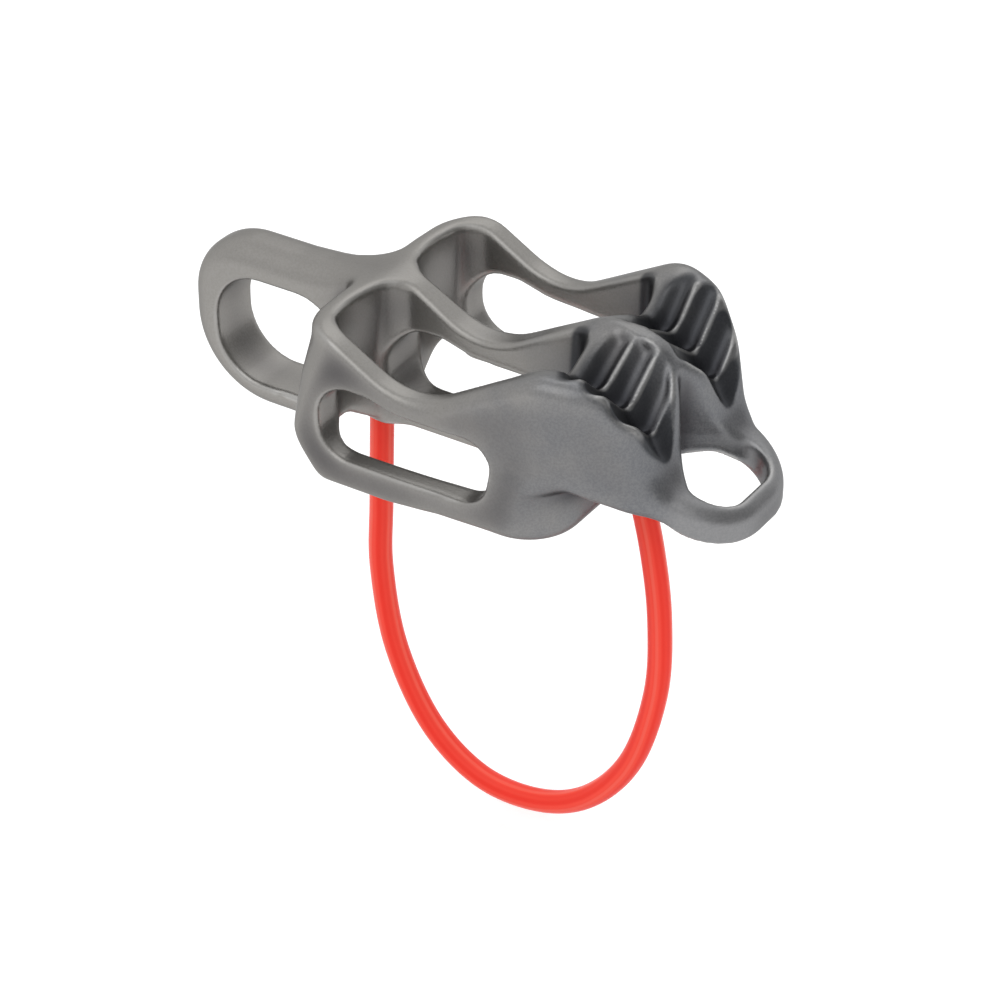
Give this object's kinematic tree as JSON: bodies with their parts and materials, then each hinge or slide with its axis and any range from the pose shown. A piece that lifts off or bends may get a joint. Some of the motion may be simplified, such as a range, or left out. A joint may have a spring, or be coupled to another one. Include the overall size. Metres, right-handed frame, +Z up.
{
  "type": "guide mode belay device",
  "caption": "Tube belay device with a guide eye, ribbed rope grooves, a release ring and a coated wire keeper loop.",
  "frame": {"origin": "centre of the guide eye, midway between its two faces", "axes": "+X from the guide eye to the release ring, +Y across the two rope slots, +Z up, away from the keeper loop"},
  "size_m": [0.0789, 0.0356, 0.0749],
  "materials": {
    "anodised_aluminium": "bead-blasted and anodised, mid grey",
    "swaged_steel": "plain swaged steel",
    "red_coat": "glossy red plastic coat",
    "wire_rope": "bare steel wire rope"
  },
  "bodies": {
    "body": {"forged_body": "anodised_aluminium", "rear_wire_end": "swaged_steel", "front_wire_end": "swaged_steel"},
    "keeper": {"keeper_sleeve": "red_coat", "keeper_core": "wire_rope"}
  },
  "joints": [
    {"name": "keeper_swing", "type": "hinge", "parent": "body", "child": "keeper", "pos_m": [0.0305, 0, -0.006], "axis": [0.995, 0, 0.1001], "range_deg": [-60, 60], "stiffness_Nm_per_rad": 0.004}
  ]
}
